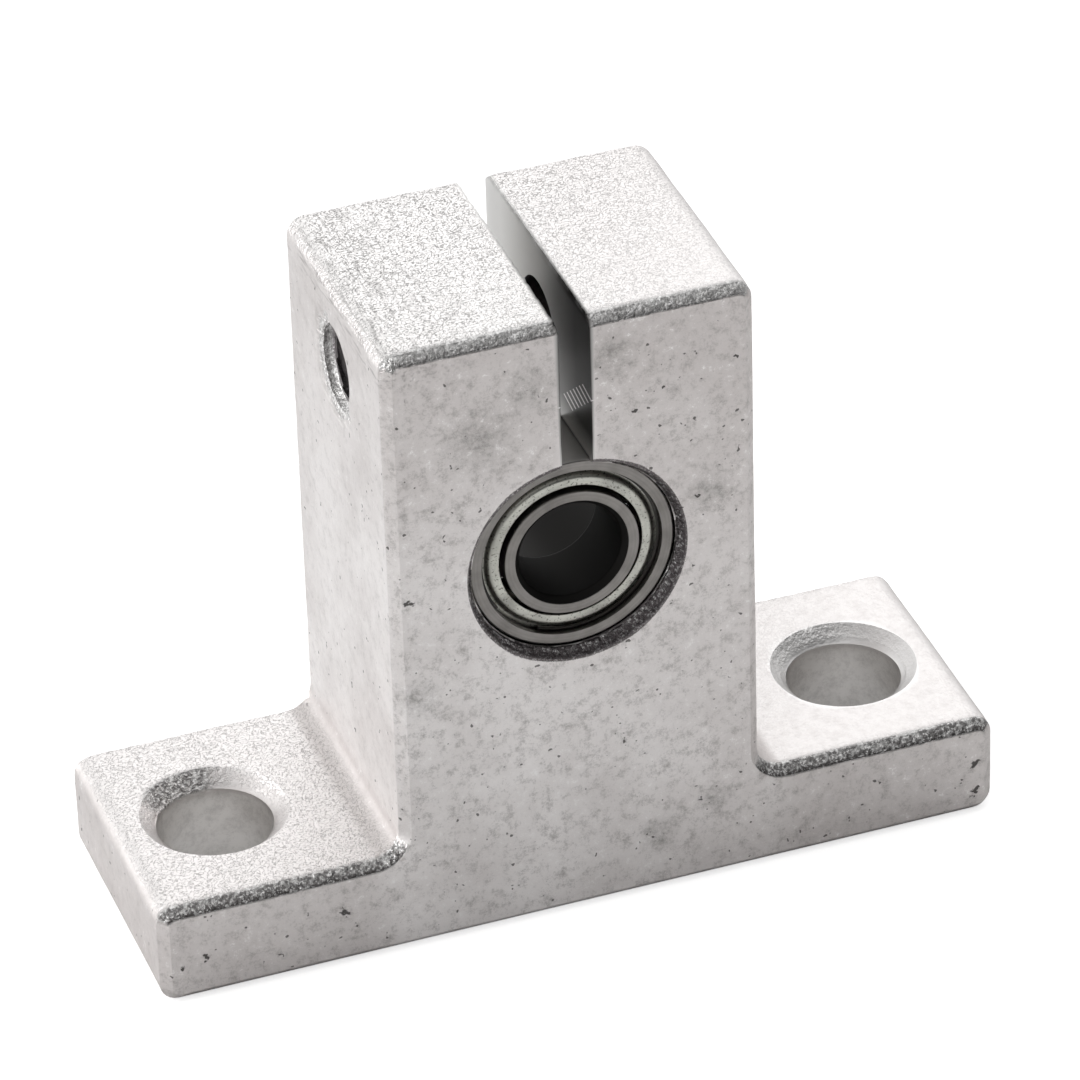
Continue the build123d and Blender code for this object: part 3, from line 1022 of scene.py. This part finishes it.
def casting_values(tree, place):
    """Name every value that tells a stain, and return them all."""
    value = {name: add(tree, "Attribute", attribute_name=name).outputs["Fac"] for name in MASKS}
    axes = add(tree, "SeparateXYZ", {0: place}).outputs
    value.update(x=axes["X"], y=axes["Y"], z=axes["Z"])
    for name, (size, detail, roughness) in NOISES.items():
        noise = {"Vector": place, "Scale": 1 / size, "Detail": detail, "Roughness": roughness}
        value[name] = add(tree, "TexNoise", noise)
    drawn = add(tree, "VectorMath", {0: place, 1: STREAK_DRAWN}, operation="MULTIPLY")
    value["streak"] = add(tree, "TexNoise", {"Vector": drawn, "Scale": 1 / STREAK_CELL, "Detail": 2.0})
    value["to_right"] = add(tree, "VectorMath", {0: place, 1: TO_RIGHT}, operation="DOT_PRODUCT")
    bent = bent_place(tree, place)
    value.update(stain_spots=spots(tree, bent, STAIN_SPOTS), pit_spots=spots(tree, bent, PIT_SPOTS))
    value["scratch"] = scratches(tree, place)
    for name, (operation, *terms) in WORKED_OUT.items():
        sockets = {i: value.get(term, term) for i, term in enumerate(terms)}
        value[name] = add(tree, "Math", sockets, operation=operation)
    for name, told_by in SHARES.items():
        value[name] = share(tree, *(value.get(word, word) for word in told_by))
    flecked = {0: value["front"], 1: FLECKED_IN_FRONT, 2: FLECKED}
    value["flecked"] = add(tree, "Math", flecked, operation="MULTIPLY_ADD")
    return value


print(len(MASKS), "masks,", len(NOISES), "noises and", len(SHARES), "shares")

# %% [markdown]
# The mould's own marks come first, and the wrinkles of the blasted tops. Among them, painted light brightens
# the left ear's top, the right foot's front and the right countersink, painted shade dulls the root fillets,
# and some rows only make faces darker towards the top and the right, and on the feet's upright faces.

# %% Marks of the mould
MOULD_MARKS_AND_PAINTED_LIGHT = [  # the colour, and the share it has, in the same order as above
    # painted light: the left ear's top is lighter than the right one
    (BLASTED_PAINTED_LIGHT, "x", 4, -2, 0.5, "blasted", "on_ear"),
    (MOULD_CLOUD_AND_SHADE, "x", 9.5, 10.5, 0.08, "blasted"),
    (MOULD_CLOUD_AND_SHADE, "fleck", 0.45, 0.7, 0.4, "blasted", "right_foot"),
    # painted light: the right foot's front is lighter
    (BLASTED_PAINTED_LIGHT, "x", 9, 10.5, 0.6, "front"),
    # darker on the feet's upright faces
    (MOULD_CLOUD_AND_SHADE, "aside", 9, 11, 0.5, "upright"),
    # darker towards the right of the front
    (MOULD_CLOUD_AND_SHADE, "x", -2, 9, 0.35, "front"),
    # painted shade in the root fillets, which dulls their highlight
    (MOULD_CLOUD_AND_SHADE, "root", 0, 1, 0.7),
    # darker towards the top of the front and of the upright faces
    (MOULD_CLOUD_AND_SHADE, "z", 8, 32, 0.5, "front"),
    (MOULD_CLOUD_AND_SHADE, "z", 20, 32, 0.3, "upright"),
    (MOULD_CLOUD_AND_SHADE, "cloud", 0.4, 0.75, 0.4, "upright"),
    (LIGHT_FLECK, "fleck", 0.42, 0.32, 0.7, "upright", "cast"),
    (MOULD_SMUDGE, "fleck", 0.5, 0.7, 0.7, "upright", "cast", "flecked"),
    (MOULD_STAIN, "stain_spots", 0, 0.9, 0.55, "front", "mottled"),
    (PIT, "pit_spots", 0.3, 0.5, 0.9, "front"),
    (PIT, "speck", 0.745, 0.775, 0.8, "upright", "cast"),
    # painted light: the right countersink's cone is lighter
    (BLASTED_PAINTED_LIGHT, "x", 9, 10, 0.8, "countersunk"),
    (WRINKLE, "wrinkle", 0, 1, 0.5),
    (WRINKLE, "wrinkle", 0, 1, 0.45, "on_ear"),
    (WRINKLE, "streak", 0.52, 0.68, 0.4, "top_left"),
]
print(len(MOULD_MARKS_AND_PAINTED_LIGHT), "marks of the mould")

# %% [markdown]
# Broken skin is dark, with painted glints, a painted highlight on the chamfers' upper part and painted light
# higher up. What tools have cut is bright; painted shade darkens the saw cut towards the front, the bore and
# the tapped hole, painted shade with some grime darkens the bore's mouths, painted light lifts the saw cut's
# lower part, and its scratches are painted glints.

# %% Broken and cut metal
BROKEN_SKIN_AND_PAINTED_LIGHT = [
    (BROKEN_SKIN, "broken", 0, 1, 0.9),
    # painted highlight on the chamfers' upper part and on the rear ones, more on the ears
    (PAINTED_GLINT, "shallow", 0, 1, 0.2),
    (PAINTED_GLINT, "shallow", 0, 1, 0.2, "on_ear"),
    # painted glints on broken skin
    (PAINTED_GLINT, "speck", 0.48, 0.58, 0.5, "shallow"),
    (PAINTED_GLINT, "grit", 0.5, 0.6, 0.95, "broken"),
    # darker towards the chamfers' front edge
    (BROKEN_SKIN, "y", -6.65, -6.95, 0.55, "broken"),
    # painted light: broken skin higher up is lighter
    (PAINTED_GLINT, "z", 20, 30, 0.2, "broken"),
]
CUT_MARKS_AND_PAINTED_LIGHT = [
    (SAWN, "sawn", 0, 1, 1),
    # painted shade: the saw cut darkens towards the front
    (SAWN_IN_PAINTED_SHADE, "y", 5, -5, 1, "sawn"),
    # painted light: the saw cut's lower part is lighter, against its shadow
    (SAWN, "z", 26.4, 25.2, 0.55, "sawn"),
    (SAWN, "bored", 0, 1, 1),
    # painted shade with oil: the bore is near black but for its rear mouth
    (SEAT_OIL_AND_SHADE, "y", 6.9, 4.5, 1, "bored"),
    # painted shade with grime darkens the bore's mouths
    (MOUTH_GRIME_AND_SHADE, "grit", 0.75, 0.5, 1, "grimed_and_shaded"),
    (DRILLED, "drilled", 0, 1, 1),
    (MOULD_SMUDGE, "fleck", 0.45, 0.65, 0.3, "drilled"),
    # painted shade inside the tapped hole
    (TAPPED_IN_PAINTED_SHADE, "tapped", 0, 1, 1),
    # painted glints: bright scratches over the saw cut's painted shade
    (ALUMINIUM, "scratch", 0, 1, 1, "sawn"),
]
print(len(BROKEN_SKIN_AND_PAINTED_LIGHT), "stains on broken skin and", len(CUT_MARKS_AND_PAINTED_LIGHT), "on cuts")

# %% [markdown]
# The relief is a fine noise, coarser on the blasted tops and coarsest on broken skin. The wrinkles sink
# into it, and the cuts stay smooth.

# %% Dress the casting
RELIEF_CELL, RELIEF_DEPTH = 0.22, 0.05
GRAIN_HEIGHT, BLASTED_HEIGHT, CRUMBLED_HEIGHT, WRINKLE_HEIGHT = 0.22, 0.8, 4.0, -0.5
CUT_ROUGHNESS, CAST_ROUGHNESS = 0.35, 0.5


def casting_relief(tree, place, value):
    """Height: noise x (grain + blasted + crumbled) off the cuts, less the wrinkles."""
    noise = {"Vector": place, "Scale": 1 / RELIEF_CELL, "Detail": 2.0, "Roughness": 0.6}
    grain = add(tree, "TexNoise", noise)
    height = GRAIN_HEIGHT
    for name, factor in (("blasted", BLASTED_HEIGHT), ("crumbled", CRUMBLED_HEIGHT)):
        height = add(tree, "Math", {0: value[name], 1: factor, 2: height}, operation="MULTIPLY_ADD")
    uncut = add(tree, "Math", {0: value["cast"], 1: value["crumbled"]}, operation="MAXIMUM")
    for factor in (uncut, grain):
        height = add(tree, "Math", {0: height, 1: factor}, operation="MULTIPLY")
    sunk = {0: value["wrinkle"], 1: WRINKLE_HEIGHT, 2: height}
    height = add(tree, "Math", sunk, operation="MULTIPLY_ADD")
    return add(tree, "Bump", {"Strength": 1.0, "Distance": RELIEF_DEPTH * MM, "Height": height})


def cast_aluminium():
    """Sand-cast, shot-blasted aluminium, smoother where a tool has cut."""
    material, tree = new_tree("sand_cast_aluminium_shot_blasted")
    place = in_millimetres(tree)
    value = casting_values(tree, place)
    colour = linear(ALUMINIUM)
    for stain, *told_by in MOULD_MARKS_AND_PAINTED_LIGHT + BROKEN_SKIN_AND_PAINTED_LIGHT + CUT_MARKS_AND_PAINTED_LIGHT:
        colour = mixed_over(tree, colour, stain, *(value.get(word, word) for word in told_by))
    gloss = add(tree, "MapRange", {"Value": value["cast"], "To Min": CUT_ROUGHNESS, "To Max": CAST_ROUGHNESS})
    metal = {"Base Color": colour, "Metallic": 1.0, "Roughness": gloss,
             "Normal": casting_relief(tree, place, value)}
    add(tree, "OutputMaterial", {"Surface": add(tree, "BsdfPrincipled", metal)})
    return material


casting.data.materials.append(cast_aluminium())
print("casting dressed in", len(casting.data.materials[0].node_tree.nodes), "nodes")

# %% [markdown]
# Bearing steel is hardened chrome steel, ground round and round. The shields are cold-rolled sheet,
# lighter and freckled. Old grease and painted shade turn the inner ring's bore nearly black, and painted
# light brightens the outer ring's rim. The snap rings are dark spring steel, darkened further as painted
# shade.

# %% Colours of the bearing
RING_STEEL = "8b8885"
SHEET_STEEL = "c4c4bc"
# dark spring steel, darkened further as painted shade in the ring's recess
SPRING_STEEL_AND_SHADE = "2f2e2d"
CAGE_STEEL = "b9b2a4"
BALL_STEEL = "d4d4d4"
# old grease with painted shade in the inner ring's bore
GREASE_AND_SHADE = "242322"
# painted light on the outer ring's rim, lighter than the ring, against the shade in the saw cut
RIM_PAINTED_LIGHT = "b4b2af"
FRECKLE = "55524f"
BAND_ROUGHNESS = 0.58
BLOTCH_CELL = 1.3
BLOTCHED, RINGED, FRECKLED = (0.4, 0.7, 0.45), (0.35, 0.7, 0.15), (0.6, 0.68, 0.75)
FRECKLE_SIZE = 0.11
# the radii of the bore's grease and painted shade
BORE_GREASE_AND_SHADE = (0, INNER_MOUTH - 0.02)
# the radii of the rim's painted light
RIM_LIGHTENED = (5.5, 0.54)
print("ring steel is", round(float(linear(RING_STEEL)[0]), 2))

# %% [markdown]
# The marks of a turning tool are noise of one number, the distance from the axis. It shades the colour
# and makes the relief.

# %% Steel that was turned
def turned_steel(name, colour, roughness, mark_size, mark_depth, freckle_size=0.0, grease_and_light_band=None, band_colour=GREASE_AND_SHADE):
    """Steel marked in rings about the bearing's axis.

    The last two arguments give the radii that take another colour, by their middle and half width in
    millimetres,
    and that colour: old grease with painted shade in the bore, painted light on the outer ring's rim."""
    material, tree = new_tree(name)
    place = in_millimetres(tree)
    from_axis = add(tree, "VectorMath", {0: place, 1: (0, 0, BORE_HEIGHT)}, operation="SUBTRACT")
    across = add(tree, "VectorMath", {0: from_axis, 1: (1, 0, 1)}, operation="MULTIPLY")
    radius = add(tree, "VectorMath", {0: across}, operation="LENGTH")
    rings = {"W": radius, "Scale": 1 / mark_size, "Detail": 1.0}
    rings = add(tree, "TexNoise", rings, noise_dimensions="1D")
    blotch = add(tree, "TexNoise", {"Vector": place, "Scale": 1 / BLOTCH_CELL, "Detail": 3.0})
    tone = mixed_over(tree, linear(colour), FRECKLE, blotch, *BLOTCHED)
    tone = mixed_over(tree, tone, FRECKLE, rings, *RINGED)
    if freckle_size:
        speck = add(tree, "TexNoise", {"Vector": place, "Scale": 1 / freckle_size, "Detail": 1.0})
        tone = mixed_over(tree, tone, FRECKLE, speck, *FRECKLED)
    if grease_and_light_band:
        inside = add(tree, "Math", {0: radius, 1: grease_and_light_band[0], 2: grease_and_light_band[1]}, operation="COMPARE")
        tone = mixed_over(tree, tone, band_colour, inside, 0, 1, 1)
        dulled = {"Value": inside, "To Min": roughness, "To Max": BAND_ROUGHNESS}
        roughness = add(tree, "MapRange", dulled)
    relief = add(tree, "Bump", {"Strength": 1.0, "Distance": mark_depth * MM, "Height": rings})
    steel = {"Base Color": tone, "Metallic": 1.0, "Roughness": roughness, "Normal": relief}
    add(tree, "OutputMaterial", {"Surface": add(tree, "BsdfPrincipled", steel)})
    return material


ground = (RING_STEEL, 0.34, 0.09, 0.002)
finishes = {
    "ground_bearing_steel": turned_steel("chrome_steel_ground", *ground),
    "pressed_shield_steel": turned_steel("cold_rolled_sheet_pressed", SHEET_STEEL, 0.38, 0.16, 0.002,
                                         freckle_size=FRECKLE_SIZE),
    # the snap rings: dark spring steel with painted shade
    "spring_steel": turned_steel("spring_steel_drawn_flat_and_shaded", SPRING_STEEL_AND_SHADE, 0.3, 0.08, 0.002),
    "cage_strip": turned_steel("steel_strip_pressed", CAGE_STEEL, 0.35, 0.12, 0.001),
    "ball_steel": turned_steel("chrome_steel_lapped", BALL_STEEL, 0.08, 0.3, 0.0),
}
banded_rings = {
    # grease and painted shade in the inner ring's bore
    "inner_ring": turned_steel("chrome_steel_ground_greasy_shaded_bore", *ground, grease_and_light_band=BORE_GREASE_AND_SHADE),
    # painted light on the outer ring's rim
    "outer_ring": turned_steel("chrome_steel_ground_lightened_rim", *ground, grease_and_light_band=RIM_LIGHTENED, band_colour=RIM_PAINTED_LIGHT),
}
print(len(finishes) + len(banded_rings), "steels")

# %% [markdown]
# The new pieces take body and finish from the nodes that they replace. The solids are dressed too,
# because the cage and the balls are shown as they are.

# %% Dress the bearing
TURNED_SHARP = 40
slots = {part["node"]: part["material_slot"] for part in frame["record"]["subparts"]}
bodies = {node: body for body, nodes in frame["record"]["behaviour"]["bodies"].items() for node in nodes}
for node, mesh in turned_pieces.items():
    smoothed(mesh, TURNED_SHARP)
    piece = placed(mesh.name, mesh)
    mesh.materials.append(banded_rings.get(node) or finishes[slots[node]])
    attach(piece, bodies[node])
    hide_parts(node)
for node, piece in frame["nodes"].items():
    piece.data.materials.clear()
    piece.data.materials.append(finishes.get(slots[node]) or casting.data.materials[0])
print("dressed", len(turned_pieces), "turned pieces and", len(frame["nodes"]), "nodes")
